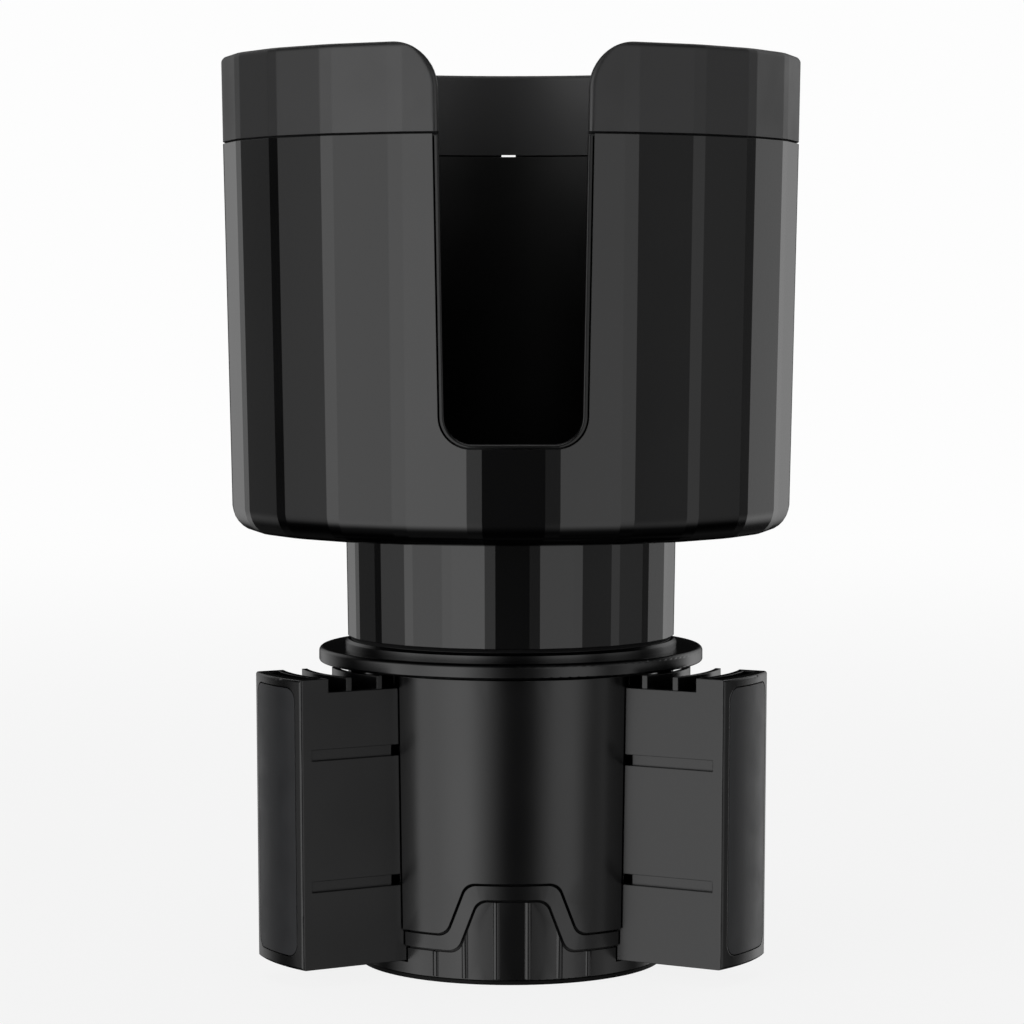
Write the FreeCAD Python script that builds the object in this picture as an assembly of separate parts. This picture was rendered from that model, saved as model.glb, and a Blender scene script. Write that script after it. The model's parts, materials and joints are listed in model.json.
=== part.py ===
import FreeCAD, Part
import math
import os

# Expanding adapter that stands in a car's cup holder and carries a wide bottle or a mug.
# Turning the cup on its base slides three wings out of the base until they grip the holder.
# Millimetres and degrees. +Z is up, the origin is the middle of the foot, and the mug slot
# faces -Y. The part is modelled at rest with its wings fully out.

# Faceted cup and rim
facet_count = 24
cup_top_radius = 54.8          # across the facet corners, at the line below the rim
cup_draft = 1.22               # degrees, the cup widens upwards
cup_height = 73.2              # from the underside of the cup to the line below the rim
cup_chamfer_angle = 2.95       # degrees taken by the narrow flat between two wide ones
cup_bottom_rounding = 4.8
rounding_steps = 7
shell_wall = 1.7               # at the middle of a wide flat
shell_floor = 2.0
shell_inner_rounding = 4.0
rim_height = 16.3
rim_draft = 0.95
rim_edge_rounding = 1.0
rim_mouth_rounding = 0.8
rim_groove_height = 0.4
rim_groove_depth = 0.9
skirt_length = 5.0
skirt_wall = 0.7
skirt_gap = 0.1

# Liner inside the cup
liner_gap = 0.2
liner_wall = 1.3
liner_floor = 1.3
liner_top_gap = 0.3            # shadow line between the liner and the rim
liner_slot_reveal = 1.1        # how far the liner's slot edge stands inside the shell's
liner_slot_rise = 0.8
slot_lip_gap = 0.3             # from the shell's slot edge to the lip round the liner's slot
slot_lip_set_back = 0.3        # the lip ends this far inside the shell's facets
floor_pad_margin = 1.8         # from the pad's edge to the liner's rounded corner
floor_pad_thickness = 1.6
floor_pad_rounding = 0.5

# Slot for a mug's handle
slot_bottom_height = 17.5      # above the underside of the cup
slot_bottom_half_width = 13.34
slot_side_slope = 0.0172       # half width gained for each millimetre upwards
slot_corner_radius = 5.8
slot_mouth_radius = 8.3
pry_slot_width = 2.9
pry_slot_below = 0.2
pry_slot_above = 0.18

# Faceted neck under the cup
neck_radius = 31.36            # across the facet corners, at its lower end
neck_draft = 0.9
neck_chamfer_angle = 3.6
neck_height = 20.2
neck_wall = 1.9
neck_rib_thickness = 1.5
neck_rib_height = 13.0
centre_well_gap = 2.3          # room round the hub for a socket
well_wall = 1.5
screw_well_radius = 3.1
screw_well_wall = 1.1
screw_well_floor = 1.6
neck_screw_count = 4
neck_screw_circle = 20.5
neck_screw_angle = 45.0

# Turning flange with the scroll under it
flange_radius = 36.85
flange_thickness = 2.25
flange_top_rounding = 0.9
flange_bottom_rounding = 0.5
step_reach = 0.45              # how far the step stands out of the neck's corners
step_height = 1.8
step_chamfer = 0.5
cove_depth = 0.3               # how far the shadow line lies inside the neck's flats
cove_height = 0.5
spigot_gap = 0.3
spigot_wall = 1.8
spigot_height = 3.2
hub_wall = 3.5
hub_height = 8.25
boss_radius = 3.4
boss_height = 4.4
scroll_starts = 3
tooth_pitch = 6.0
scroll_wall = 1.2
scroll_depth = 2.75
scroll_inner_radius = 10.5
scroll_edge_gap = 0.4
spiral_step = 15.0             # degrees between the points of a spiral
turn_range = 290.0

# Base casing and its centre post
base_height = 57.15
base_top_radius = 31.3
base_draft = 0.83
casing_flange_gap = 0.6
casing_wall = 2.0
casing_top_rounding = 0.3
casing_floor = 1.2
cheek_wall = 1.5
roof_thickness = 1.5
roof_drop = 2.75               # from the top of the casing to the roofs between the wings
boss_web = 1.2
cap_screw_circle = 20.0
cap_boss_radius = 3.2
rail_reach = 1.0
rail_inner_radius = 14.0
journal_radius = 4.95
post_shoulder_width = 0.95
journal_gap = 0.07
thrust_washer_thickness = 0.8
post_stand_out = 0.1           # the post stands this far above the hub, so that the cup turns
ring_groove_depth = 1.0
ring_groove_drop = 5.0
ring_section = 1.0

# Ribbed base cap and foot
foot_thickness = 0.8
foot_margin = 0.3              # from the ribbed field to the foot's edge
foot_rounding = 0.3
cap_floor = 1.1
cap_step = 0.45                # the cap's band is this much smaller than the casing
cap_recess = 0.5               # the ribbed field is this much smaller than the band
cap_edge_rounding = 0.3
lip_height = 2.0
lip_gap = 0.15
lip_wall = 1.15
parting_gap = 0.5
parting_low = 9.43
parting_high = 19.16
tongue_low_half_width = 12.36
tongue_high_half_width = 8.7
tongue_corner_radius = 2.6
band_width = 2.6
rib_pitch_angle = 11.5
ribs_per_side = 6
rib_radius = 0.7
rib_stand_out = 0.35
rib_start = 1.2
shadow_groove_width = 0.5      # sunk line under the band, where the ribs end
shadow_groove_depth = 0.8

# Wings
wing_count = 3
front_direction = -90.0
first_wing_angle = front_direction - 180.0 / wing_count
wing_half_width = 9.2
wing_side_gap = 0.35
wing_bottom_gap = 0.3
wing_flange_gap = 0.5
wing_draft = 0.4
wing_edge_rounding = 0.6
wing_wall = 1.6
wing_face_wall = 2.0
wing_floor = 1.6
wing_post_gap = 0.6
notch_depth = 2.53
wing_pocket_length = 4.4       # from the outer face of a wing to its full height cross wall
cross_wall = 1.3
first_tooth_gap = 4.25         # from the cross wall to the middle of the outermost tooth
tooth_thickness = 1.1
tooth_half_width = 9.0
tooth_width_step = 3.0         # the teeth nearest the post are each this much narrower
tooth_form_share = 0.2         # share of the travel at which the teeth are concentric with the post
pocket_rib_thickness = 1.2
pocket_rib_drop = 1.0
guide_height = 2.05
guide_depth = 0.9
guide_gap = 0.3
lower_guide = 17.75
leading_upper_guide = 42.15    # on the side that faces anticlockwise, seen from above
trailing_upper_guide = 40.2
guide_end_margin = 3.5         # solid length between a guide and the outer face
window_distance = 20.6         # from the outer face to the window
window_length = 2.9

# Grip pads on the wings
pad_thickness = 1.0
pad_gap = 0.2
pad_side_margin = 1.6
pad_top_margin = 1.55
pad_bottom_margin = 2.2
pad_corner_radius = 2.5

# Screws and washers
neck_screw_radius = 1.25
neck_screw_head_radius = 2.8
neck_screw_head = 2.0
neck_screw_hole_floor = 0.5
cap_screw_radius = 1.25
cap_screw_head_radius = 2.7
cap_screw_head = 1.25
cap_screw_length = 11.0
pilot_gap = 0.05
clearance_gap = 0.35
head_gap = 0.3
pivot_screw_radius = 2.0
pivot_head_radius = 4.0
pivot_head = 3.0
pivot_head_rounding = 1.0
pivot_screw_length = 18.0
pivot_washer_margin = 0.5      # from the washer's edge to the hub's
pivot_washer_thickness = 1.2
socket_radius = 1.3
pivot_socket_radius = 2.0
recess_share = 0.6             # depth of a screw's driving recess, as a share of its head

joint_overlap = 0.5            # how far parts of one moulding are drawn into each other
tiny = 1e-6

# Heights worked out from the sizes above
cap_floor_top = foot_thickness + cap_floor
channel_floor = cap_floor_top + casing_floor
wing_bottom = channel_floor + wing_bottom_gap
flange_bottom = base_height + casing_flange_gap
wing_top = flange_bottom - wing_flange_gap
flange_top = flange_bottom + flange_thickness
step_top = flange_top + step_height
neck_bottom = step_top + step_chamfer + cove_height
cup_bottom = neck_bottom + neck_height
cup_top = cup_bottom + cup_height
rim_top = cup_top + rim_height
shell_floor_top = cup_bottom + shell_floor
liner_floor_top = shell_floor_top + liner_floor
liner_top = cup_top - liner_top_gap
hub_top = flange_bottom + hub_height
boss_top = flange_top + boss_height
roof_top = base_height - roof_drop
roof_bottom = roof_top - roof_thickness
notch_floor = wing_top - notch_depth
post_shoulder = flange_bottom - thrust_washer_thickness - post_stand_out
post_top = hub_top + post_stand_out
cap_screw_seat = foot_thickness + cap_screw_head + head_gap

# Radii worked out from the sizes above
cup_slope = math.tan(math.radians(cup_draft))
neck_slope = math.tan(math.radians(neck_draft))
base_slope = math.tan(math.radians(base_draft))
cup_flat_share = math.cos(math.radians(180.0 / facet_count - cup_chamfer_angle / 2))
neck_flat_share = math.cos(math.radians(180.0 / facet_count - neck_chamfer_angle / 2))
cup_low_radius = cup_top_radius - cup_height * cup_slope
shell_inner_top = cup_top_radius * cup_flat_share - shell_wall
shell_inner_low = shell_inner_top - (cup_top - shell_floor_top) * cup_slope
liner_top_radius = shell_inner_top - liner_gap - liner_wall
floor_pad_radius = shell_inner_low - liner_gap - liner_wall - shell_inner_rounding - floor_pad_margin
neck_flat_radius = neck_radius * neck_flat_share
neck_bore = neck_flat_radius - neck_wall
step_radius = neck_radius + step_reach
cove_radius = neck_flat_radius - cove_depth
spigot_radius = neck_bore - spigot_gap
post_radius = journal_radius + post_shoulder_width
hub_radius = journal_radius + journal_gap + hub_wall
pivot_washer_radius = hub_radius - pivot_washer_margin
centre_well_radius = hub_radius + centre_well_gap
casing_inner_radius = base_top_radius - casing_wall
cap_inner_radius = casing_inner_radius - lip_gap - lip_wall
cap_low_radius = base_top_radius - (base_height - foot_thickness) * base_slope - cap_step
cap_field_radius = cap_low_radius - cap_recess
foot_radius = cap_field_radius - foot_margin
scroll_outer_radius = casing_inner_radius - scroll_edge_gap
channel_half_width = wing_half_width + wing_side_gap
lead = scroll_starts * tooth_pitch
travel = lead * turn_range / 360.0
growth = lead / (2 * math.pi)
form_shift = tooth_form_share * travel

# Radii on a closed wing
wing_inner_end = post_radius + wing_post_gap
cross_wall_radius = flange_radius - wing_pocket_length - cross_wall
first_tooth_radius = cross_wall_radius - first_tooth_gap
tooth_count = 1 + int((first_tooth_radius - wing_inner_end - wing_wall) / tooth_pitch)
guide_outer_end = flange_radius - guide_end_margin
window_outer_end = flange_radius - window_distance

far = 2 * cup_top_radius       # reaches past everything
X_AXIS = FreeCAD.Vector(1, 0, 0)
Z_AXIS = FreeCAD.Vector(0, 0, 1)
ORIGIN = FreeCAD.Vector(0, 0, 0)


def point(radius, angle, height=0.0):
    """Point at a radius and an angle in degrees, counted from +X towards +Y."""
    turn = math.radians(angle)
    return FreeCAD.Vector(radius * math.cos(turn), radius * math.sin(turn), height)


def facing_plane(across, up):
    """Place of an outline that is drawn facing the front."""
    return FreeCAD.Vector(across, 0, up)


def outline(corners, place=facing_plane):
    """Closed face from corners of (across, up, rounding), each rounded by a tangent arc."""
    rounded = []
    for number, (across, up, radius) in enumerate(corners):
        before = corners[number - 1]
        after = corners[(number + 1) % len(corners)]
        arrive = (across - before[0], up - before[1])
        leave = (after[0] - across, after[1] - up)
        arrive = [part / math.hypot(*arrive) for part in arrive]
        leave = [part / math.hypot(*leave) for part in leave]
        turn = math.atan2(arrive[0] * leave[1] - arrive[1] * leave[0],
                          arrive[0] * leave[0] + arrive[1] * leave[1])
        reach = radius * math.tan(abs(turn) / 2)
        depth = radius / math.cos(turn / 2) - radius
        inward = (leave[0] - arrive[0], leave[1] - arrive[1])
        inward = [part / max(math.hypot(*inward), tiny) for part in inward]
        start = place(across - arrive[0] * reach, up - arrive[1] * reach)
        middle = place(across + inward[0] * depth, up + inward[1] * depth)
        finish = place(across + leave[0] * reach, up + leave[1] * reach)
        rounded.append((start, middle, finish, radius > 0))
    edges = []
    for number, (start, middle, finish, is_round) in enumerate(rounded):
        if is_round:
            edges.append(Part.Arc(start, middle, finish).toShape())
        following = rounded[(number + 1) % len(rounded)][0]
        if finish.distanceToPoint(following) > tiny:
            edges.append(Part.LineSegment(finish, following).toShape())
    return Part.Face(Part.Wire(edges))


def turned(corners):
    """Solid of revolution about the middle axis, from corners of (radius, height, rounding)."""
    return outline(corners).revolve(ORIGIN, Z_AXIS, 360)


def ring(inner, outer, low, high):
    """Plain ring about the middle axis."""
    return turned([(inner, low, 0), (outer, low, 0), (outer, high, 0), (inner, high, 0)])


def rod(radius, low, high, place=ORIGIN):
    """Upright cylinder."""
    return Part.makeCylinder(radius, high - low, place + FreeCAD.Vector(0, 0, low))


def bar(start, finish, half_width, low, high):
    """Upright box along +X, centred across it."""
    corner = FreeCAD.Vector(start, -half_width, low)
    return Part.makeBox(finish - start, 2 * half_width, high - low, corner)


def spun(shape, angle):
    """Copy of a shape, turned about the middle axis."""
    copy = shape.copy()
    copy.rotate(ORIGIN, Z_AXIS, angle)
    return copy


def slid(shape, distance):
    """Copy of a shape, moved along +X."""
    copy = shape.copy()
    copy.translate(X_AXIS * distance)
    return copy


def joined(shapes):
    """One solid from overlapping ones."""
    return shapes[0].fuse(shapes[1:])


def wing_angles():
    """Directions of the three wings, the third one opposite the slot."""
    return [first_wing_angle + number * 360.0 / wing_count for number in range(wing_count)]


def between_angles():
    """Directions halfway between two wings, the first one to the front."""
    return [front_direction + number * 360.0 / wing_count for number in range(wing_count)]


def screw_angles():
    """Directions of the screws that hold the neck to the flange."""
    return [neck_screw_angle + number * 360.0 / neck_screw_count for number in range(neck_screw_count)]


def facet_ring(corner_radius, chamfer_angle, height):
    """Corners of one level: a wide flat to the front, narrow flats between the wide ones."""
    pitch = 360.0 / facet_count
    half = (pitch - chamfer_angle) / 2
    corners = []
    for number in range(facet_count):
        middle = front_direction + number * pitch
        corners.append(point(corner_radius, middle - half, height))
        corners.append(point(corner_radius, middle + half, height))
    return corners


def faceted(levels, chamfer_angle):
    """Solid with flat facets, from levels of (corner radius, height)."""
    rings = [facet_ring(radius, chamfer_angle, height) for radius, height in levels]
    faces = [Part.Face(Part.makePolygon(level + level[:1])) for level in (rings[0], rings[-1])]
    for lower, upper in zip(rings, rings[1:]):
        for number in range(len(lower)):
            beside = (number + 1) % len(lower)
            corners = [lower[number], lower[beside], upper[beside], upper[number], lower[number]]
            faces.append(Part.Face(Part.makePolygon(corners)))
    return Part.makeSolid(Part.makeShell(faces))


def rounding_levels(radius, height, rounding, upward):
    """Levels of a rounded edge, from its flat end to its upright end or back."""
    levels = []
    for number in range(rounding_steps + 1):
        turn = math.radians(90.0 * number / rounding_steps)
        inset = rounding * (1 - math.sin(turn))
        rise = rounding * (1 - math.cos(turn))
        levels.append((radius - inset, height + rise if upward else height - rise))
    return levels if upward else levels[::-1]


def slot_cutter(reveal=0.0, rise=0.0):
    """Prism of the mug slot, opened out at the rim, or set in for the liner."""
    low = cup_bottom + slot_bottom_height
    low_half = slot_bottom_half_width - reveal
    high_half = low_half + slot_side_slope * (rim_top - low)
    bottom = low + rise
    wide = high_half + 2 * slot_mouth_radius
    above = rim_top + slot_mouth_radius
    corner = slot_corner_radius - rise
    face = outline([(-low_half, bottom, corner), (low_half, bottom, corner),
                    (high_half, rim_top, slot_mouth_radius), (wide, rim_top, 0),
                    (wide, above, 0), (-wide, above, 0),
                    (-wide, rim_top, 0), (-high_half, rim_top, slot_mouth_radius)])
    return face.extrude(FreeCAD.Vector(0, -far, 0))


def pry_slot():
    """Small opening at the back, where a blade lifts the rim off."""
    corner = FreeCAD.Vector(-pry_slot_width / 2, 0, cup_top - pry_slot_below)
    return Part.makeBox(pry_slot_width, far, pry_slot_below + pry_slot_above, corner)


def outer_shell():
    """Faceted cup and neck in one moulding, with wells for the screws and ribs in the neck."""
    levels = rounding_levels(cup_low_radius, cup_bottom, cup_bottom_rounding, True)
    levels[-1] = (cup_low_radius + cup_bottom_rounding * cup_slope, levels[-1][1])
    body = faceted(levels + [(cup_top_radius, cup_top)], cup_chamfer_angle)
    cavity = turned([(0, shell_floor_top, 0), (shell_inner_low, shell_floor_top, shell_inner_rounding),
                     (shell_inner_top, cup_top, 0), (0, cup_top, 0)])
    rabbet = rod(shell_inner_top - liner_gap + 2 * skirt_gap + skirt_wall,
                 cup_top - skirt_length - head_gap, cup_top)
    neck_top_radius = neck_radius + neck_height * neck_slope
    neck = faceted([(neck_radius, neck_bottom), (neck_top_radius, cup_bottom + joint_overlap)],
                   neck_chamfer_angle)
    neck = neck.cut(rod(neck_bore, neck_bottom, cup_bottom))
    body = body.cut([cavity, rabbet]).fuse(neck)
    rib_low = cup_bottom - neck_rib_height
    ribs = []
    for angle in screw_angles():
        between = angle + 180.0 / neck_screw_count
        rib = bar(centre_well_radius, neck_bore + joint_overlap, neck_rib_thickness / 2,
                  rib_low, cup_bottom + joint_overlap)
        ribs.append(spun(rib, between))
        ribs.append(rod(screw_well_radius + screw_well_wall, boss_top,
                        cup_bottom + joint_overlap, point(neck_screw_circle, angle)))
    ribs.append(rod(centre_well_radius + well_wall, rib_low, cup_bottom + joint_overlap))
    body = body.fuse(ribs)
    holes = [rod(centre_well_radius, rib_low, shell_floor_top)]
    for angle in screw_angles():
        place = point(neck_screw_circle, angle)
        holes.append(rod(screw_well_radius, boss_top + screw_well_floor, shell_floor_top, place))
        holes.append(rod(neck_screw_radius + clearance_gap, boss_top, shell_floor_top, place))
    return body.cut(holes + [slot_cutter(), pry_slot()])


def inner_liner():
    """Thin smooth cup that the bottle slides in, with a lip that lines the edge of the slot."""
    low = shell_inner_low - liner_gap
    high = shell_inner_top - liner_gap - liner_top_gap * cup_slope
    outer = turned([(0, shell_floor_top, 0), (low, shell_floor_top, shell_inner_rounding + liner_gap),
                    (high, liner_top, 0), (0, liner_top, 0)])
    inner = turned([(0, liner_floor_top, 0), (low - liner_wall, liner_floor_top, shell_inner_rounding),
                    (high - liner_wall, liner_top, 0), (0, liner_top, 0)])
    facets = faceted([(cup_low_radius - slot_lip_set_back, cup_bottom),
                      (cup_top_radius - slot_lip_set_back, cup_top)], cup_chamfer_angle)
    lip = slot_cutter(slot_lip_gap, slot_lip_gap).common(facets).cut(rod(far, liner_top, rim_top))
    return outer.fuse(lip).cut([inner, slot_cutter(liner_slot_reveal, liner_slot_rise), pry_slot()])


def floor_pad():
    """Round soft pad that lies on the liner's floor."""
    top = liner_floor_top + floor_pad_thickness
    return turned([(0, liner_floor_top, 0), (floor_pad_radius, liner_floor_top, 0),
                   (floor_pad_radius, top, floor_pad_rounding), (0, top, 0)])


def rim_ring():
    """Soft faceted ring that closes the top edges of the shell and the liner."""
    top_radius = cup_top_radius + (rim_height - rim_edge_rounding) * math.tan(math.radians(rim_draft))
    groove_top = cup_top + rim_groove_height
    levels = [(cup_top_radius - rim_groove_depth, cup_top),
              (cup_top_radius - rim_groove_depth, groove_top),
              (cup_top_radius, groove_top)]
    levels += rounding_levels(top_radius, rim_top, rim_edge_rounding, False)
    body = faceted(levels, cup_chamfer_angle)
    mouth = turned([(0, cup_top, 0), (liner_top_radius, cup_top, 0),
                    (liner_top_radius, rim_top, rim_mouth_rounding),
                    (cup_top_radius, rim_top, 0), (cup_top_radius, far + rim_top, 0),
                    (0, far + rim_top, 0)])
    inner = shell_inner_top - liner_gap + skirt_gap
    skirt = ring(inner, inner + skirt_wall, cup_top - skirt_length, cup_top + rim_groove_height)
    gap = Part.makeBox(2 * pry_slot_width, far, skirt_length + pry_slot_above,
                       FreeCAD.Vector(-pry_slot_width, 0, cup_top - skirt_length))
    body = body.cut([mouth, slot_cutter(liner_slot_reveal, liner_slot_rise)])
    return body.fuse(skirt.cut([gap, slot_cutter()])).cut(pry_slot())


def spiral(middle_radius, shift, start, finish):
    """Curve whose radius grows steadily anticlockwise, shifted outwards by half a wall."""
    count = 2 + int((finish - start) / spiral_step)
    points = []
    for number in range(count + 1):
        angle = start + (finish - start) * number / count
        radius = middle_radius + shift + growth * math.radians(angle)
        points.append(point(radius, angle))
    curve = Part.BSplineCurve()
    curve.interpolate(points)
    return curve.toShape(), points[0], points[-1]


def scroll_arm():
    """One wall of the scroll, whose middle passes between the teeth of a wing along +X."""
    level = first_tooth_radius + travel - tooth_pitch / 2
    start = math.degrees((scroll_inner_radius - level) / growth)
    finish = math.degrees((scroll_outer_radius - level) / growth)
    outer, outer_start, outer_end = spiral(level, scroll_wall / 2, start, finish)
    inner, inner_start, inner_end = spiral(level, -scroll_wall / 2, start, finish)
    ends = [Part.LineSegment(outer_end, inner_end).toShape(),
            Part.LineSegment(inner_start, outer_start).toShape()]
    face = Part.Face(Part.Wire([outer, ends[0], inner, ends[1]]))
    low = flange_bottom - scroll_depth
    face.translate(Z_AXIS * low)
    arm = face.extrude(Z_AXIS * (scroll_depth + joint_overlap))
    return arm.common(ring(scroll_inner_radius, scroll_outer_radius, low, flange_top))


def scroll_flange():
    """Turning flange: stepped rim, hub and screw bosses above, scroll walls below."""
    body = turned([(0, flange_bottom, 0), (flange_radius, flange_bottom, flange_bottom_rounding),
                   (flange_radius, flange_top, flange_top_rounding), (step_radius, flange_top, 0),
                   (step_radius, step_top, 0), (step_radius - step_chamfer, step_top + step_chamfer, 0),
                   (cove_radius, step_top + step_chamfer, 0), (cove_radius, neck_bottom, 0),
                   (spigot_radius, neck_bottom, 0), (spigot_radius, neck_bottom + spigot_height, 0),
                   (spigot_radius - spigot_wall, neck_bottom + spigot_height, 0),
                   (spigot_radius - spigot_wall, flange_top, 0), (hub_radius, flange_top, 0),
                   (hub_radius, hub_top, 0), (0, hub_top, 0)])
    added = []
    holes = [rod(journal_radius + journal_gap, flange_bottom, hub_top)]
    for angle in screw_angles():
        place = point(neck_screw_circle, angle)
        added.append(rod(boss_radius, flange_top - joint_overlap, boss_top, place))
        holes.append(rod(neck_screw_radius + pilot_gap, flange_bottom + neck_screw_hole_floor,
                         boss_top, place))
    for angle in wing_angles():
        added.append(spun(scroll_arm(), angle))
    return body.fuse(added).cut(holes)


def neck_screws():
    """Four pan head screws, down the wells of the neck into the bosses of the flange."""
    seat = boss_top + screw_well_floor
    screws = []
    for angle in screw_angles():
        place = point(neck_screw_circle, angle)
        shank = rod(neck_screw_radius, flange_top, seat, place)
        head = rod(neck_screw_head_radius, seat, seat + neck_screw_head, place)
        recess_low = seat + neck_screw_head * (1 - recess_share)
        recess = rod(socket_radius, recess_low, seat + neck_screw_head, place)
        screws.append(head.fuse(shank).cut(recess))
    return Part.makeCompound(screws)


def pivot_washer():
    """Steel washer that keeps the hub on the post."""
    return ring(pivot_screw_radius + clearance_gap, pivot_washer_radius,
                post_top, post_top + pivot_washer_thickness)


def pivot_screw():
    """Steel screw in the top of the post."""
    seat = post_top + pivot_washer_thickness
    shank = rod(pivot_screw_radius, seat - pivot_screw_length, seat)
    top = seat + pivot_head
    head = turned([(0, seat, 0), (pivot_head_radius, seat, 0),
                   (pivot_head_radius, top, pivot_head_rounding), (0, top, 0)])
    recess = rod(pivot_socket_radius, top - pivot_head * recess_share, top)
    return head.fuse(shank).cut(recess)


def thrust_washer():
    """Slippery washer on the shoulder of the post, under the turning flange."""
    return ring(journal_radius + journal_gap, post_radius,
                post_shoulder, post_shoulder + thrust_washer_thickness)


def friction_ring():
    """Rubber ring in the post's groove, whose drag keeps the wings where they are set."""
    middle = hub_top - ring_groove_drop
    return Part.makeTorus(journal_radius - ring_section / 2, ring_section / 2,
                          FreeCAD.Vector(0, 0, middle), Z_AXIS)


def channels(half_width, low, high):
    """The three straight ways that the wings run in."""
    return [spun(bar(0, far, half_width, low, high), angle) for angle in wing_angles()]


def wall_radius(height):
    """Outer radius of the casing at a height."""
    return base_top_radius - (base_height - height) * base_slope


def tongue_prisms(inset):
    """Everything below the stepped parting line, drawn once and set round the base.
    The line runs low beside the wings and rises to a tongue in the middle of each side."""
    slope = (tongue_low_half_width - tongue_high_half_width) / (parting_high - parting_low)
    sideways = inset * (math.hypot(1, slope) - slope)
    low_half = tongue_low_half_width - sideways
    high_half = tongue_high_half_width - sideways
    low = parting_low - inset
    high = parting_high - inset
    wide = base_top_radius * math.sin(math.radians(180.0 / wing_count))
    prisms = []
    for angle in between_angles():
        face = outline([(-wide, 0, 0), (-wide, low, 0), (-low_half, low, tongue_corner_radius),
                        (-high_half, high, tongue_corner_radius), (high_half, high, tongue_corner_radius),
                        (low_half, low, tongue_corner_radius), (wide, low, 0), (wide, 0, 0)])
        prism = face.extrude(FreeCAD.Vector(0, -far, 0))
        prisms.append(spun(prism, angle - front_direction))
    return prisms


def guide_rails():
    """Rails on both cheeks of the channel along +X, one pair high and one pair low."""
    rails = []
    face = channel_half_width
    uppers = ((1, leading_upper_guide), (-1, trailing_upper_guide))
    for side, upper in uppers:
        for level in (lower_guide, upper):
            near = side * (face - rail_reach)
            away = side * (face + joint_overlap)
            outer = math.sqrt(casing_inner_radius ** 2 - face ** 2)
            corner = FreeCAD.Vector(rail_inner_radius, min(near, away), level + guide_gap)
            length = outer - rail_inner_radius
            rails.append(Part.makeBox(length, abs(away - near), guide_height - 2 * guide_gap, corner))
    return rails


def base_casing():
    """Base body in one moulding: wall, channels for the wings, roofs, bosses and centre post."""
    inner = casing_inner_radius
    skin = turned([(inner, foot_thickness, 0), (wall_radius(foot_thickness), foot_thickness, 0),
                   (base_top_radius, base_height, casing_top_rounding), (inner, base_height, 0)])
    skin = skin.cut(tongue_prisms(0.0))
    lip_top = parting_high + lip_height + clearance_gap
    core_radius = cap_inner_radius - clearance_gap
    core = turned([(0, cap_floor_top, 0), (core_radius, cap_floor_top, 0), (core_radius, lip_top, 0),
                   (inner + joint_overlap, lip_top, 0), (inner + joint_overlap, roof_top, 0),
                   (0, roof_top, 0)])
    hollow = rod(inner, cap_floor_top, roof_bottom)
    hollow = hollow.cut(channels(channel_half_width + cheek_wall, cap_floor_top, roof_bottom))
    core = core.cut(hollow)
    pieces = [core]
    for angle in between_angles():
        boss_low = cap_screw_seat + cap_floor
        pieces.append(rod(cap_boss_radius, boss_low, roof_bottom + joint_overlap,
                          point(cap_screw_circle, angle)))
        web = bar(cap_screw_circle, inner + joint_overlap, boss_web / 2,
                  lip_top, roof_bottom + joint_overlap)
        pieces.append(spun(web, angle))
    body = skin.fuse(pieces)
    body = body.cut(channels(channel_half_width, channel_floor, base_height + casing_wall))
    rails = []
    for angle in wing_angles():
        rails += [spun(rail, angle) for rail in guide_rails()]
    post = rod(post_radius, cap_floor_top, post_shoulder)
    journal = rod(journal_radius, post_shoulder, post_top)
    groove_middle = hub_top - ring_groove_drop
    groove = ring(journal_radius - ring_groove_depth, post_radius,
                  groove_middle - ring_section / 2, groove_middle + ring_section / 2)
    body = body.fuse(rails + [post, journal.cut(groove)])
    screw_low = post_top + pivot_washer_thickness - pivot_screw_length - head_gap
    holes = [rod(pivot_screw_radius + pilot_gap, screw_low, post_top)]
    for angle in between_angles():
        holes.append(rod(cap_screw_radius + pilot_gap, cap_floor_top,
                         cap_screw_seat + cap_screw_length + head_gap, point(cap_screw_circle, angle)))
    return body.cut(holes)


def cap_cone(radius, rounding, low):
    """Drafted solid of the base cap from a low level up, of a radius measured at the foot."""
    lift = (low - foot_thickness) * base_slope
    rise = (parting_high - foot_thickness) * base_slope
    return turned([(0, low, 0), (radius + lift, low, rounding),
                   (radius + rise, parting_high, 0), (0, parting_high, 0)])


def cap_ribs():
    """Half round ribs that stand out of the cap's lower field, a fan of them on each side."""
    edge = joined(tongue_prisms(parting_gap + band_width + shadow_groove_width))
    middle = cap_field_radius + rib_stand_out - rib_radius
    foot = FreeCAD.Vector(middle + (rib_start - foot_thickness) * base_slope, 0, rib_start)
    rib = Part.makeCylinder(rib_radius, parting_high, foot, FreeCAD.Vector(base_slope, 0, 1))
    ribs = []
    for angle in between_angles():
        for number in range(ribs_per_side):
            turn = angle + (number - (ribs_per_side - 1) / 2) * rib_pitch_angle
            ribs.append(spun(rib, turn).common(edge))
    return ribs


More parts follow.
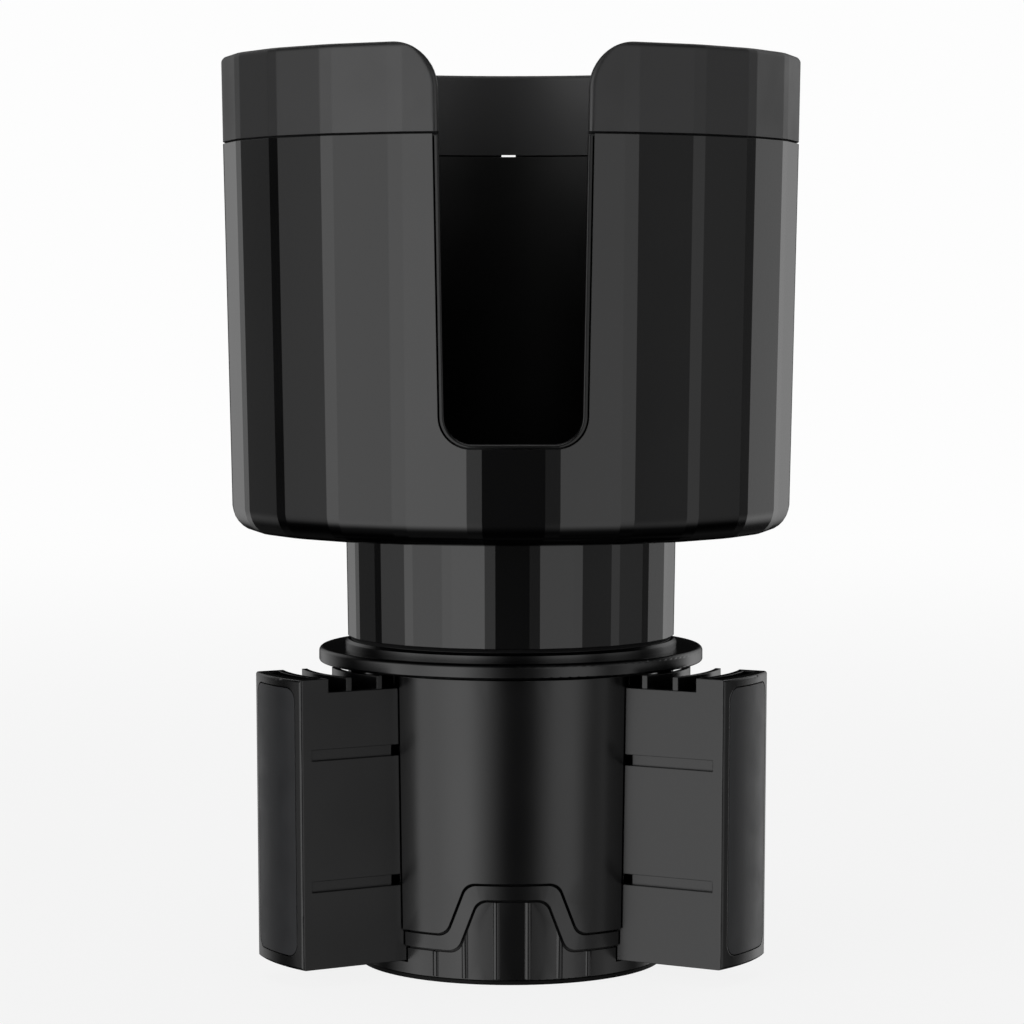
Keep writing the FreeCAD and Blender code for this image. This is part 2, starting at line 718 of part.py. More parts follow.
def base_cap():
    """Lower shell: plain band along the parting line, ribbed field set back below it."""
    band_edge = joined(tongue_prisms(parting_gap))
    field_edge = joined(tongue_prisms(parting_gap + band_width))
    body = cap_cone(cap_low_radius, cap_edge_rounding, foot_thickness).common(band_edge)
    field = cap_cone(cap_field_radius, cap_edge_rounding, foot_thickness)
    groove_floor = cap_cone(cap_field_radius - shadow_groove_depth, 0, foot_thickness)
    groove_edge = joined(tongue_prisms(parting_gap + band_width + shadow_groove_width))
    body = body.cut([field_edge.cut(field), field_edge.cut([groove_edge, groove_floor]),
                     rod(cap_inner_radius, cap_floor_top, rim_top)])
    lip = ring(cap_inner_radius, casing_inner_radius - lip_gap, cap_floor_top, parting_high + lip_height)
    added = [lip.common(joined(tongue_prisms(-lip_height)))] + cap_ribs()
    holes = channels(channel_half_width, channel_floor, rim_top)
    for angle in between_angles():
        place = point(cap_screw_circle, angle)
        added.append(rod(cap_screw_head_radius + head_gap + cap_floor, foot_thickness,
                         cap_screw_seat + cap_floor, place))
        holes.append(rod(cap_screw_head_radius + head_gap, foot_thickness, cap_screw_seat, place))
        holes.append(rod(cap_screw_radius + clearance_gap, cap_screw_seat,
                         cap_screw_seat + cap_floor, place))
    return body.fuse(added).cut(holes)


def cap_screws():
    """Three flat headed screws, sunk in the cap under the foot."""
    low = cap_screw_seat - cap_screw_head
    screws = []
    for angle in between_angles():
        place = point(cap_screw_circle, angle)
        shank = rod(cap_screw_radius, cap_screw_seat, cap_screw_seat + cap_screw_length, place)
        head = rod(cap_screw_head_radius, low, cap_screw_seat, place)
        recess = rod(socket_radius, low, low + cap_screw_head * recess_share, place)
        screws.append(head.fuse(shank).cut(recess))
    return Part.makeCompound(screws)


def foot_pad():
    """Thin rubber disc that the base stands on."""
    return turned([(0, 0, 0), (foot_radius, 0, foot_rounding), (foot_radius, foot_thickness, 0),
                   (0, foot_thickness, 0)])


def wing_cone(inset):
    """Cone that the outer faces of the closed wings lie on, drafted inwards towards the foot."""
    low_radius = flange_radius - inset - (wing_top - wing_bottom) * math.tan(math.radians(wing_draft))
    return turned([(0, wing_bottom, 0), (low_radius, wing_bottom, 0),
                   (flange_radius - inset, wing_top, 0), (0, wing_top, 0)])


def tooth_points(radius):
    """Ends and middle of a curve right across a wing. It bends as a circle does partway
    out, because one shape has to pass every radius of its travel."""
    form_radius = radius + form_shift
    sag = form_radius - math.sqrt(form_radius ** 2 - channel_half_width ** 2)
    return [FreeCAD.Vector(radius - sag * abs(side), side * channel_half_width, 0)
            for side in (-1, 0, 1)]


def cross_rib(radius, thickness, half_width, low, high):
    """Curved wall across a wing, inner face at the radius."""
    inner = tooth_points(radius)
    outer = [place + X_AXIS * thickness for place in inner]
    edges = [Part.Arc(*inner).toShape(), Part.LineSegment(inner[2], outer[2]).toShape(),
             Part.Arc(*outer).toShape(), Part.LineSegment(outer[0], inner[0]).toShape()]
    face = Part.Face(Part.Wire(edges))
    face.translate(Z_AXIS * low)
    wall = face.extrude(Z_AXIS * (high - low))
    return wall.common(bar(0, far, half_width, low, high))


def pad_prism(inset):
    """Prism of the pad's rounded outline, drawn on the outer face of a wing along +X."""
    half = wing_half_width - pad_side_margin - inset
    low = wing_bottom + pad_bottom_margin + inset
    high = wing_top - pad_top_margin - inset
    radius = pad_corner_radius - inset
    face = outline([(-half, low, radius), (half, low, radius), (half, high, radius),
                    (-half, high, radius)], lambda across, up: FreeCAD.Vector(0, across, up))
    return face.extrude(X_AXIS * far)


def placed_wing(shape, angle):
    """A piece drawn on a closed wing along +X, slid out and turned to its place."""
    return spun(slid(shape, travel), angle)


def side_cut(side, level, start, finish, depth):
    """Straight cut into one side wall of a wing along +X."""
    near = side * (wing_half_width - depth)
    away = side * (wing_half_width + wing_side_gap)
    corner = FreeCAD.Vector(start, min(near, away), level)
    return Part.makeBox(finish - start, abs(away - near), guide_height, corner)


def closed_wing():
    """Wing in one moulding, drawn closed along +X: open box, guides, and teeth on top."""
    body = bar(wing_inner_end, far, wing_half_width, wing_bottom, wing_top).common(wing_cone(0))
    rim = [edge for edge in body.Edges
           if min(math.hypot(v.X, v.Y) for v in edge.Vertexes) > flange_radius - wing_face_wall]
    body = body.makeFillet(wing_edge_rounding, rim)
    floor_top = wing_bottom + wing_floor
    inside = wing_half_width - wing_wall
    cavity = bar(wing_inner_end + wing_wall, far, inside, floor_top, wing_top)
    cavity = cavity.common(rod(flange_radius - wing_face_wall, floor_top, wing_top))
    cross = tooth_points(cross_wall_radius)
    corners = [FreeCAD.Vector(0, cross[2].y, 0), FreeCAD.Vector(0, cross[0].y, 0)]
    edges = [Part.Arc(*cross).toShape(), Part.LineSegment(cross[2], corners[0]).toShape(),
             Part.LineSegment(corners[0], corners[1]).toShape(),
             Part.LineSegment(corners[1], cross[0]).toShape()]
    notch = Part.Face(Part.Wire(edges))
    notch.translate(Z_AXIS * notch_floor)
    notch = notch.extrude(Z_AXIS * (2 * notch_depth))
    body = body.cut([cavity, notch])
    added = [cross_rib(cross_wall_radius, cross_wall, inside + joint_overlap, floor_top, wing_top)]
    added.append(bar(cross_wall_radius + joint_overlap, flange_radius - wing_face_wall + joint_overlap,
                     pocket_rib_thickness / 2, floor_top, wing_top - pocket_rib_drop))
    for number in range(tooth_count):
        half_width = min(tooth_half_width, tooth_width_step * (tooth_count - number))
        inner = first_tooth_radius - number * tooth_pitch - tooth_thickness / 2
        added.append(cross_rib(inner, tooth_thickness, inside + joint_overlap, floor_top, notch_floor))
        added.append(cross_rib(inner, tooth_thickness, half_width, notch_floor - wing_wall, wing_top))
    body = body.fuse(added)
    cuts = [pad_prism(0).cut(wing_cone(pad_thickness))]
    for side, upper in ((1, leading_upper_guide), (-1, trailing_upper_guide)):
        for level in (lower_guide, upper):
            cuts.append(side_cut(side, level, 0, guide_outer_end, guide_depth))
            cuts.append(side_cut(side, level, window_outer_end - window_length,
                                 window_outer_end, wing_wall + guide_gap))
    return body.cut(cuts)


def closed_pad():
    """Soft pad that fills the recess in the outer face of a wing."""
    return pad_prism(pad_gap).common(wing_cone(0)).cut(wing_cone(pad_thickness))


def sub_parts():
    """Every sub-part by its node name."""
    shapes = {
        "base_casing": base_casing(), "base_cap": base_cap(), "foot_pad": foot_pad(),
        "cap_screws": cap_screws(), "thrust_washer": thrust_washer(),
        "friction_ring": friction_ring(), "pivot_washer": pivot_washer(), "pivot_screw": pivot_screw(),
        "scroll_flange": scroll_flange(), "neck_screws": neck_screws(), "outer_shell": outer_shell(),
        "inner_liner": inner_liner(), "floor_pad": floor_pad(), "rim_ring": rim_ring(),
    }
    wing = closed_wing()
    pad = closed_pad()
    for side, angle in zip(("left", "right", "rear"), wing_angles()):
        shapes[side + "_wing"] = placed_wing(wing, angle)
        shapes[side + "_pad"] = placed_wing(pad, angle)
    return shapes


os.makedirs("parts", exist_ok=True)
for name, shape in sub_parts().items():
    shape.exportStep("parts/" + name + ".step")
    print(name, len(shape.Solids), shape.isValid(), round(shape.Volume, 1))
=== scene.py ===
import json
import math

import bmesh
import bpy
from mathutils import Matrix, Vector

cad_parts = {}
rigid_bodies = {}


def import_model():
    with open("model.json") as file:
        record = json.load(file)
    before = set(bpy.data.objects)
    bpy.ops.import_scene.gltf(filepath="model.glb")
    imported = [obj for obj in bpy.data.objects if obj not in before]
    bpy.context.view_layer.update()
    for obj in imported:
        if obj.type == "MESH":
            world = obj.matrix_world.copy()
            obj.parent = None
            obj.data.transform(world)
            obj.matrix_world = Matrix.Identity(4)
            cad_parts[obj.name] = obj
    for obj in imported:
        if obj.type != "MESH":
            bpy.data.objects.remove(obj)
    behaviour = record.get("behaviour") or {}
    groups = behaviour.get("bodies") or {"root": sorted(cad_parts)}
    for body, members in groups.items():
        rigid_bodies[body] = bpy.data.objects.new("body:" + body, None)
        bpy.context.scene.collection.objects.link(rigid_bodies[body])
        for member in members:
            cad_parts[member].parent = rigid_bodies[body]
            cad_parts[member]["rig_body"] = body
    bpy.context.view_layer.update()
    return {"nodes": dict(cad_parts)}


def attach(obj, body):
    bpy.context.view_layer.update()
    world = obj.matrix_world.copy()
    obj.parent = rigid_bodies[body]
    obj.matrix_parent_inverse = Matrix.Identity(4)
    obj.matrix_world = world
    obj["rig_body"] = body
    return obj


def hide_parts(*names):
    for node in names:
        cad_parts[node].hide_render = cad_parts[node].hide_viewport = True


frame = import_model()

# Foot: a thin disc of nitrile rubber, moulded flat and glued under the base so that it doesn't slide.
# The rubber is almost black and takes no clear reflections. A dusty bloom greys it in patches.
MM = 0.001
# The noise that makes a finish drift mostly lies between these two values.
NOISE_LOW, NOISE_HIGH = 0.3, 0.7
# Faces that turn less than the first angle are one face, and an edge is sharp from the second.
# Between two facets that look out, the third is enough.
FLAT_WITHIN, SHARP_FROM, FACET_TURN = (math.radians(turn) for turn in (0.05, 35, 1.5))
FACES_OUT = 0.05


def linear(hex_colour):
    """Linear colour of an sRGB hex value."""
    parts = [int(hex_colour[i:i + 2], 16) / 255 for i in (0, 2, 4)]
    return [p / 12.92 if p <= 0.04045 else ((p + 0.055) / 1.055) ** 2.4 for p in parts] + [1.0]


def add_node(tree, kind, inputs=None, **settings):
    """One node with its settings; an input is a value or the socket that feeds it."""
    made = tree.nodes.new(kind)
    for name, value in settings.items():
        setattr(made, name, value)
    for name, value in (inputs or {}).items():
        if isinstance(value, bpy.types.NodeSocket):
            tree.links.new(value, made.inputs[name])
        else:
            made.inputs[name].default_value = value
    return made


def moulded(name, dark, light, patch, rough, grain, depth, edge=0.12, specular=0.5):
    """Moulded finish: colour and gloss drift over patches, fine grain in relief, edges worn round.
    Patch, grain, depth and edge are in millimetres. The grain is drawn coarse enough to show."""
    material = bpy.data.materials.new(name)
    material.use_nodes = True
    tree = material.node_tree
    shader = tree.nodes["Principled BSDF"]
    place = add_node(tree, "ShaderNodeTexCoord").outputs["Object"]
    drift = add_node(tree, "ShaderNodeTexNoise", {"Vector": place, "Scale": 1 / (patch * MM),
                                                  "Detail": 3.0})
    colour = add_node(tree, "ShaderNodeMix", {"Factor": drift.outputs["Fac"], "A": linear(dark),
                                              "B": linear(light)}, data_type="RGBA")
    gloss = add_node(tree, "ShaderNodeMapRange", {"Value": drift.outputs["Fac"],
                                                  "From Min": NOISE_LOW, "From Max": NOISE_HIGH,
                                                  "To Min": rough[0], "To Max": rough[1]})
    round_edge = add_node(tree, "ShaderNodeBevel", {"Radius": edge * MM}, samples=6)
    fine = add_node(tree, "ShaderNodeTexNoise", {"Vector": place, "Scale": 1 / (grain * MM),
                                                 "Detail": 2.0})
    relief = add_node(tree, "ShaderNodeBump", {"Height": fine.outputs["Fac"], "Distance": depth * MM,
                                               "Strength": 1.0,
                                               "Normal": round_edge.outputs["Normal"]})
    tree.links.new(colour.outputs["Result"], shader.inputs["Base Color"])
    tree.links.new(gloss.outputs["Result"], shader.inputs["Roughness"])
    tree.links.new(relief.outputs["Normal"], shader.inputs["Normal"])
    shader.inputs["Specular IOR Level"].default_value = specular
    return material


def merged(node, join=0.001):
    """Mesh of a solid's copy, with its loose triangles joined into whole faces."""
    mesh = bmesh.new()
    mesh.from_mesh(frame["nodes"][node].data)
    bmesh.ops.remove_doubles(mesh, verts=mesh.verts, dist=join * MM)
    bmesh.ops.dissolve_limit(mesh, angle_limit=FLAT_WITHIN, verts=mesh.verts, edges=mesh.edges,
                             delimit={"NORMAL"})
    return mesh


def stand_in(node, mesh, finish, facets_from=None):
    """Piece that stands for a solid: smooth where it bends gently, sharp at its edges.
    From the radius facets_from outwards, flat facets keep the upright edges between them."""
    for face in mesh.faces:
        face.smooth = True
    for edge in mesh.edges:
        edge.smooth = edge.calc_face_angle(0.0) < SHARP_FROM
        if facets_from is None or not edge.smooth:
            continue
        sides = [face.normal for face in edge.link_faces]
        middle = (edge.verts[0].co + edge.verts[1].co) / 2
        turns = [math.atan2(side.x * middle.y - side.y * middle.x,
                            side.x * middle.x + side.y * middle.y) for side in sides]
        outwards = min(math.cos(turn) * math.hypot(side.x, side.y)
                       for turn, side in zip(turns, sides))
        if outwards > FACES_OUT and math.hypot(middle.x, middle.y) > facets_from * MM:
            edge.smooth = abs(turns[0] - turns[1]) < FACET_TURN
    data = bpy.data.meshes.new(node + "_skin")
    mesh.to_mesh(data)
    mesh.free()
    data.materials.append(finish)
    piece = bpy.data.objects.new(node + "_skin", data)
    bpy.context.scene.collection.objects.link(piece)
    flatten = piece.modifiers.new("flat_faces_stay_flat", "WEIGHTED_NORMAL")
    flatten.keep_sharp = True
    flatten.mode = "FACE_AREA_WITH_ANGLE"
    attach(piece, frame["nodes"][node]["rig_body"])
    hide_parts(node)
    return piece


def dressed(node, finish):
    """A solid's copy in its finish, with no change of shape."""
    return stand_in(node, merged(node), finish)


nitrile_rubber = moulded("moulded_nitrile_rubber", "050505", "0b0b0b", 12, (0.5, 0.62), 0.5, 0.01,
                         specular=0.12)
dressed("foot_pad", nitrile_rubber)

# Base casing: round wall, channels for the wings and centre post in one moulding of black ABS.
# The tool is only brushed smooth, so the side takes long soft reflections without clear outlines.
smooth_abs = moulded("smooth_black_abs", "030304", "050506", 25, (0.2, 0.25), 1.2, 0.002)
dressed("base_casing", smooth_abs)

# Base cap: lower shell of black ABS with a band along the parting line and a ribbed grip field.
# It is moulded apart and held by three screws from below, so a dark line shows where they meet.
# The groove under the band is too narrow to polish in the tool and stays dull.
BASE_SLOPE, GROOVE_FLOOR, GROOVE_MOUTH = 0.014487, 28.9, 29.3


def radius_and_height(tree):
    """Distance from the cup's axis and height of the shaded point."""
    place = tree.nodes["Texture Coordinate"].outputs["Object"]
    height = add_node(tree, "ShaderNodeSeparateXYZ", {"Vector": place}).outputs["Z"]
    flat = add_node(tree, "ShaderNodeVectorMath", {0: place, 1: (1.0, 1.0, 0.0)},
                    operation="MULTIPLY")
    radius = add_node(tree, "ShaderNodeVectorMath", {0: flat.outputs["Vector"]},
                      operation="LENGTH")
    return radius.outputs["Value"], height


def below(tree, measure, low, high):
    """1 where a measure lies below low millimetres, falling to 0 at high."""
    return add_node(tree, "ShaderNodeMapRange", {"Value": measure, "From Min": low * MM,
                                                 "From Max": high * MM, "To Min": 1.0,
                                                 "To Max": 0.0}).outputs["Result"]


def dull_where(finish, hollow):
    """Make a finish dull where the value hollow is 1."""
    tree = finish.node_tree
    shader = tree.nodes["Principled BSDF"]
    gloss = shader.inputs["Roughness"].links[0].from_socket
    dull = add_node(tree, "ShaderNodeMath", {0: gloss, 1: hollow}, operation="MAXIMUM")
    tree.links.new(dull.outputs["Value"], shader.inputs["Roughness"])


grooved_abs = moulded("grooved_black_abs", "030304", "050506", 25, (0.2, 0.25), 1.2, 0.002,
                      edge=0.1)
tree = grooved_abs.node_tree
radius, height = radius_and_height(tree)
foot_radius = add_node(tree, "ShaderNodeMath", {0: height, 1: -BASE_SLOPE, 2: radius},
                       operation="MULTIPLY_ADD")
dull_where(grooved_abs, below(tree, foot_radius.outputs["Value"], GROOVE_FLOOR, GROOVE_MOUTH))
dressed("base_cap", grooved_abs)

# Screws and washer inside: steel, cold formed or punched, then zinc plated in a drum.
# The plating is a bright grey with a slight cloudiness.
zinc_plate = moulded("zinc_plated_steel", "8d9196", "a9adb2", 3, (0.25, 0.4), 0.3, 0.004)
zinc_plate.node_tree.nodes["Principled BSDF"].inputs["Metallic"].default_value = 1.0
for name in ("cap_screws", "neck_screws", "pivot_screw", "pivot_washer"):
    dressed(name, zinc_plate)

# Thrust washer: a thin ring of white acetal, turned from rod, that the flange slides on.
# It lies loose on the post's shoulder, and looks waxy, with soft reflections.
acetal = moulded("turned_white_acetal", "d8d7d0", "e2e1db", 6, (0.3, 0.4), 0.5, 0.003)
dressed("thrust_washer", acetal)

# Friction ring: a cord ring of nitrile rubber, stretched into the post's groove.
# It is the same almost black rubber as the foot.
dressed("friction_ring", nitrile_rubber)

# Wings: open boxes of black ABS, each moulded in one piece with its guides and scroll teeth.
# They slide against the casing, which has worn their edges a little rounder than elsewhere.
worn_abs = moulded("worn_black_abs", "030304", "050506", 25, (0.21, 0.27), 1.2, 0.002, edge=0.22)
for side in ("left", "right", "rear"):
    dressed(side + "_wing", worn_abs)

# Grip pads: thin plates of soft elastomer, moulded and pressed into the faces of the wings.
# They are a shade greyer than the ABS and have a fine matt grain.
grip_elastomer = moulded("soft_grip_elastomer", "1b1c1f", "222326", 6, (0.38, 0.46), 0.6, 0.01)
for side in ("left", "right", "rear"):
    dressed(side + "_pad", grip_elastomer)

# Turning flange: a stepped disc of black ABS, moulded with the scroll walls on its underside.
# The top of its collar is drawn in under the neck, where a dull dark joint line is left.
# The disc's top lies a little higher than the solid's, and the collar's edge a little lower.
collar_abs = moulded("collar_black_abs", "030304", "050506", 25, (0.2, 0.25), 1.2, 0.002, edge=0.0)
flange = merged("scroll_flange", join=0.03)
# Points between these heights and radii rise, drop or are drawn in. All are in millimetres.
TOP_FROM, TOP_TO, TOP_RISE = 58.9, 60.1, 0.6
EDGE_FROM, EDGE_TO, EDGE_DROP = 61.7, 62.4, 0.25
LINE_FROM, LINE_TO, LINE_RADIUS, LINE_BOTTOM = 30.5, 31.1, 30.65, 62.05
for vert in flange.verts:
    radius, height = math.hypot(vert.co.x, vert.co.y) / MM, vert.co.z / MM
    if radius > LINE_TO and TOP_FROM < height < TOP_TO:
        vert.co.z += TOP_RISE * MM
    if radius > LINE_FROM and EDGE_FROM < height < EDGE_TO:
        vert.co.z -= EDGE_DROP * MM
    if LINE_FROM < radius < LINE_TO and height > EDGE_FROM:
        vert.co.x *= LINE_RADIUS / radius
        vert.co.y *= LINE_RADIUS / radius
stand_in("scroll_flange", flange, collar_abs)
tree = collar_abs.node_tree
radius, height = radius_and_height(tree)
joint_line = add_node(tree, "ShaderNodeMath", {0: 1.0, 1: below(tree, height, LINE_BOTTOM,
                                                                LINE_BOTTOM + 0.05)},
                      operation="SUBTRACT")
dull_where(collar_abs, joint_line.outputs["Value"])

# Cup: faceted shell and neck in one moulding of black ABS. The facets are cut flat in the tool
# and polished, so each one shows a single even reflection.
polished_abs = moulded("polished_black_abs", "030304", "050506", 30, (0.14, 0.18), 1.2, 0.002)
stand_in("outer_shell", merged("outer_shell"), polished_abs, facets_from=29)

# Liner: thin smooth cup of black ABS, pushed in from above, whose lip lines the slot.
# Its tool is left satin, and its colour is drawn a shade darker than the other black ABS as painted
# shade, so the inside of the cup looks almost black.
satin_abs_painted_shade = moulded("satin_black_abs_painted_shade", "010101", "020202", 20, (0.3, 0.4), 0.6, 0.004,
                    specular=0.4)
liner = merged("inner_liner")
LIP_ROUNDING = 0.4
# The slot lies further out than this, and its walls look straight sideways or up.
SLOT_BEYOND, SIDEWAYS, LOOKS_UP, LOOKS_OUT = -30, 0.02, 0.3, 0.4


def lines_slot(face):
    """Whether a face looks into the mug slot, from one of its sides or from below."""
    middle = face.calc_center_median()
    inwards = face.normal.x * middle.x < 0 or face.normal.z > LOOKS_UP
    return abs(face.normal.y) < SIDEWAYS and middle.y < SLOT_BEYOND * MM and inwards


def looks_out(face):
    """Whether a face looks away from the cup's axis."""
    middle = face.calc_center_median()
    outwards = face.normal.x * middle.x + face.normal.y * middle.y
    return outwards > LOOKS_OUT * math.hypot(middle.x, middle.y)


def slot_edges(mesh):
    """The outer edges of the mug slot."""
    return [edge for edge in mesh.edges if any(lines_slot(face) for face in edge.link_faces)
            and any(looks_out(face) and not lines_slot(face) for face in edge.link_faces)]


bmesh.ops.bevel(liner, geom=slot_edges(liner), offset=LIP_ROUNDING * MM, segments=4, profile=0.5,
                material=-1, affect="EDGES", clamp_overlap=False)
stand_in("inner_liner", liner, satin_abs_painted_shade)

# Floor pad: a moulded disc of nitrile rubber that lies loose on the liner's floor.
# It quietens the bottle, and is the same almost black rubber as the foot.
dressed("floor_pad", nitrile_rubber)

# Rim: a soft faceted ring of charcoal elastomer, moulded over the top edge of the cup.
# The soft stuff comes out of its tool with round edges and a bluish matt sheen.
rim_elastomer = moulded("soft_rim_elastomer", "0c0c0e", "101012", 15, (0.42, 0.5), 0.5, 0.008,
                        specular=0.75)
rim = merged("rim_ring")
SLOT_ROUNDING, ROUND_FROM, FADE_FROM, ROUND_TO, LEAST_ROUND = 1.05, 156.4, 168.5, 172.45, 0.04
roundness = rim.edges.layers.float.new("bevel_weight_edge")
for edge in slot_edges(rim):
    edge_height = (edge.verts[0].co.z + edge.verts[1].co.z) / 2 / MM
    if edge_height > ROUND_FROM:
        fading = (ROUND_TO - edge_height) / (ROUND_TO - FADE_FROM)
        edge[roundness] = min(1.0, max(LEAST_ROUND, fading))
rim_piece = stand_in("rim_ring", rim, rim_elastomer, facets_from=50)
rounding = rim_piece.modifiers.new("slot_rounding", "BEVEL")
rounding.limit_method = "WEIGHT"
rounding.width = SLOT_ROUNDING * MM
rounding.segments = 5
rounding.use_clamp_overlap = False
rim_piece.modifiers.move(1, 0)
# The edges above the joint line are rounder than the ones beside it, where the tool closes.
# The joint line itself stays dull: it is below JOINT_TOP, and outside JOINT_INSIDE.
JOINT_TOP, JOINT_INSIDE = 156.65, 52.5
CRISP_EDGE, CRISP_TO, SOFT_EDGE, SOFT_FROM = 0.1, 157.5, 0.7, 159
tree = rim_elastomer.node_tree
radius, height = radius_and_height(tree)
edge_size = add_node(tree, "ShaderNodeMapRange", {"Value": height, "From Min": CRISP_TO * MM,
                                                  "From Max": SOFT_FROM * MM,
                                                  "To Min": CRISP_EDGE * MM,
                                                  "To Max": SOFT_EDGE * MM})
tree.links.new(edge_size.outputs["Result"], tree.nodes["Bevel"].inputs["Radius"])
outside = add_node(tree, "ShaderNodeMath", {0: 1.0, 1: below(tree, radius, JOINT_INSIDE - 0.1,
                                                             JOINT_INSIDE)}, operation="SUBTRACT")
joint = add_node(tree, "ShaderNodeMath", {0: outside.outputs["Value"],
                                          1: below(tree, height, JOINT_TOP - 0.04, JOINT_TOP)},
                 operation="MULTIPLY")
dull_where(rim_elastomer, joint.outputs["Value"])

# Floor: a plain pale painted disc, far larger than the view, that fades into the surroundings.
# It stays out of the glossy reflections, as a white table under the soft boxes would wash them out.
FLOOR_RADIUS, FADE_START, FADE_END, NEAREST_FADE = 8.0, 0.15, 1.2, 0.88
PALE = "fdfdfd"
bed = bmesh.new()
bmesh.ops.create_circle(bed, cap_ends=True, segments=96, radius=FLOOR_RADIUS)
floor_mesh = bpy.data.meshes.new("floor")
bed.to_mesh(floor_mesh)
bed.free()
floor = bpy.data.objects.new("floor", floor_mesh)
bpy.context.scene.collection.objects.link(floor)
floor.visible_glossy = False
floor.visible_diffuse = False
floor_paint = bpy.data.materials.new("painted_pale_floor")
floor_paint.use_nodes = True
tree = floor_paint.node_tree
shader = tree.nodes["Principled BSDF"]
shader.inputs["Base Color"].default_value = linear("f2f2f2")
shader.inputs["Roughness"].default_value = 0.9
shader.inputs["Specular IOR Level"].default_value = 0.1
place = add_node(tree, "ShaderNodeTexCoord").outputs["Object"]
distance = add_node(tree, "ShaderNodeVectorMath", {0: place}, operation="LENGTH")
far = add_node(tree, "ShaderNodeMapRange", {"Value": distance.outputs["Value"],
                                            "From Min": FADE_START, "From Max": FADE_END,
                                            "To Min": NEAREST_FADE},
               interpolation_type="SMOOTHSTEP")
glow = add_node(tree, "ShaderNodeEmission", {"Color": linear(PALE), "Strength": 1.0})
faded = add_node(tree, "ShaderNodeMixShader", {0: far.outputs["Result"], 1: shader.outputs["BSDF"],
                                               2: glow.outputs["Emission"]})
tree.links.new(faded.outputs["Shader"], tree.nodes["Material Output"].inputs["Surface"])
floor_mesh.materials.append(floor_paint)

# Studio: tall soft boxes stand in a ring round the object, with dark gaps between them.
# Each stop is a direction in degrees, from the camera's side towards +X, and the light's strength
# there. The boxes reach lower in front than at the back, and end above the object.
ring_lights = ((-180, 0.005), (-168, 0.01), (-160, 0.4), (-150, 0.62), (-135, 0.5), (-120, 0.06),
               (-105, 0.02), (-90, 0.76), (-75, 2.05), (-60, 1.55), (-45, 2.0), (-30, 2.2),
               (-15, 0.74), (-5, 0.07), (5, 0.07), (15, 0.12), (30, 1.2), (45, 1.3), (60, 0.17),
               (75, 0.85), (90, 0.44), (105, 0.02), (120, 0.45), (135, 1.2), (150, 0.62),
               (160, 0.4), (168, 0.01), (180, 0.005))
STRONGEST = 2.5
# How far down and up the boxes reach, as the upright part of a direction, with a soft end. A faint
# glow is left past it. At the back they reach down only BACK_REACH of the way.
FOOT_DARK, FOOT_BRIGHT, FOOT_GLOW, BACK_REACH = -0.84, -0.48, 0.1, 0.5
HEAD_BRIGHT, HEAD_DARK, HEAD_GLOW = 0.35, 0.6, 0.1
world = bpy.data.worlds.new("studio")
world.use_nodes = True
bpy.context.scene.world = world
tree = world.node_tree
looking = add_node(tree, "ShaderNodeTexCoord").outputs["Generated"]
parts = add_node(tree, "ShaderNodeSeparateXYZ", {"Vector": looking})
forward = add_node(tree, "ShaderNodeMath", {0: parts.outputs["Y"], 1: -1.0}, operation="MULTIPLY")
turn = add_node(tree, "ShaderNodeMath", {0: parts.outputs["X"], 1: forward.outputs["Value"]},
                operation="ARCTAN2")
along_ring = add_node(tree, "ShaderNodeMapRange", {"Value": turn.outputs["Value"],
                                                   "From Min": -math.pi, "From Max": math.pi})
ring = add_node(tree, "ShaderNodeValToRGB", {"Fac": along_ring.outputs["Result"]})
stops = ring.color_ramp.elements
stops.remove(stops[1])
for number, (direction, strength) in enumerate(ring_lights):
    stop = stops[0] if number == 0 else stops.new((direction + 180) / 360)
    level = strength / STRONGEST
    stop.color = (level, level, level, 1.0)
half_turn = add_node(tree, "ShaderNodeMath", {0: turn.outputs["Value"], 1: 0.5},
                     operation="MULTIPLY")
shortening = add_node(tree, "ShaderNodeMath", {0: half_turn.outputs["Value"]}, operation="COSINE")
reach = add_node(tree, "ShaderNodeMath", {0: shortening.outputs["Value"], 1: BACK_REACH},
                 operation="MAXIMUM")
down = add_node(tree, "ShaderNodeMath", {0: parts.outputs["Z"], 1: reach.outputs["Value"]},
                operation="DIVIDE")
lower_end = add_node(tree, "ShaderNodeMapRange", {"Value": down.outputs["Value"],
                                                  "From Min": FOOT_DARK, "From Max": FOOT_BRIGHT,
                                                  "To Min": FOOT_GLOW, "To Max": STRONGEST},
                     interpolation_type="SMOOTHSTEP")
upper_end = add_node(tree, "ShaderNodeMapRange", {"Value": parts.outputs["Z"],
                                                  "From Min": HEAD_BRIGHT, "From Max": HEAD_DARK,
                                                  "To Min": 1.0, "To Max": HEAD_GLOW},
                     interpolation_type="SMOOTHSTEP")
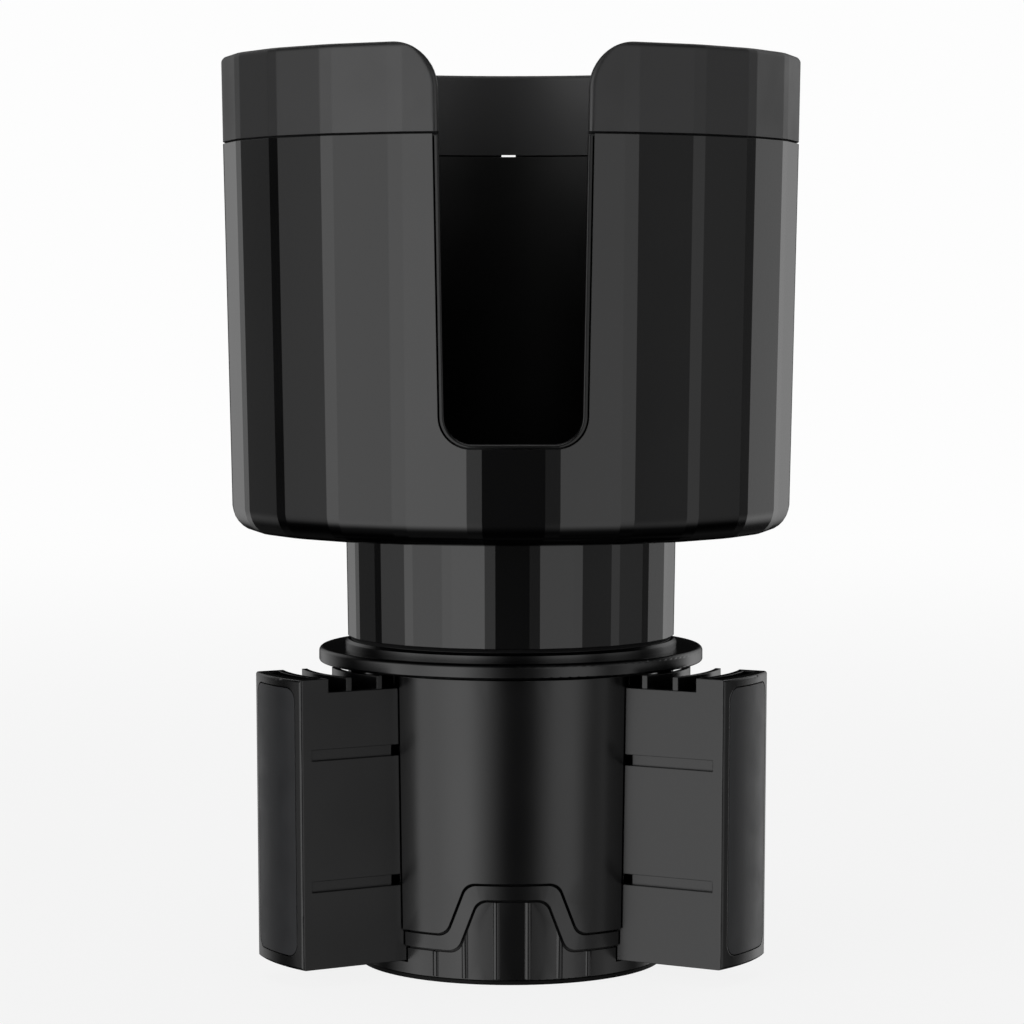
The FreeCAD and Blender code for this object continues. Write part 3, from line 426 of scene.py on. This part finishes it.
both_ends = add_node(tree, "ShaderNodeMath", {0: lower_end.outputs["Result"],
                                              1: upper_end.outputs["Result"]},
                     operation="MULTIPLY")
surround = tree.nodes["Background"]
tree.links.new(ring.outputs["Color"], surround.inputs["Color"])
tree.links.new(both_ends.outputs["Value"], surround.inputs["Strength"])
seen = add_node(tree, "ShaderNodeBackground", {"Color": linear(PALE)})
kind = add_node(tree, "ShaderNodeLightPath")
mixed = add_node(tree, "ShaderNodeMixShader", {0: kind.outputs["Is Camera Ray"],
                                               1: surround.outputs["Background"],
                                               2: seen.outputs["Background"]})
tree.links.new(mixed.outputs["Shader"], tree.nodes["World Output"].inputs["Surface"])

# Lamps: a broad soft one overhead that brightens the floor, and a long one high at the back
# that draws a thin light line along the edges that face up.


def soft_lamp(name, size, strength, place, target):
    """Rectangular soft light of a given strength as seen in a reflection, aimed at a point."""
    lamp = bpy.data.lights.new(name, "AREA")
    lamp.shape = "RECTANGLE"
    lamp.size, lamp.size_y = size
    lamp.energy = strength * math.pi * size[0] * size[1]
    holder = bpy.data.objects.new(name, lamp)
    bpy.context.scene.collection.objects.link(holder)
    holder.location = place
    holder.rotation_euler = (Vector(target) - Vector(place)).to_track_quat("-Z", "Y").to_euler()
    holder.visible_camera = False


soft_lamp("overhead", (1.1, 1.1), 1.0, (0, 0, 1.6), (0, 0, 0))
soft_lamp("back_strip", (2.0, 0.4), 1.2, (0, 1.3, 1.3), (0, 0, 0.15))

# Camera: the photograph's viewing angle, a long lens a little above the middle of the cup.
# Its place, aim and lens come from the outlines of the cup and the base.
camera = bpy.data.cameras.new("camera")
camera.lens = 124.602
camera.sensor_width = 36.0
camera.shift_x = 0.001117
camera.clip_start = 0.01
eye = bpy.data.objects.new("camera", camera)
bpy.context.scene.collection.objects.link(eye)
eye.location = (-0.006055, -0.679458, 0.128806)
gaze = Vector((0, 0, 0.0861216)) - eye.location
eye.rotation_euler = gaze.to_track_quat("-Z", "Y").to_euler()
bpy.context.scene.camera = eye
bpy.context.scene.view_settings.view_transform = "Standard"
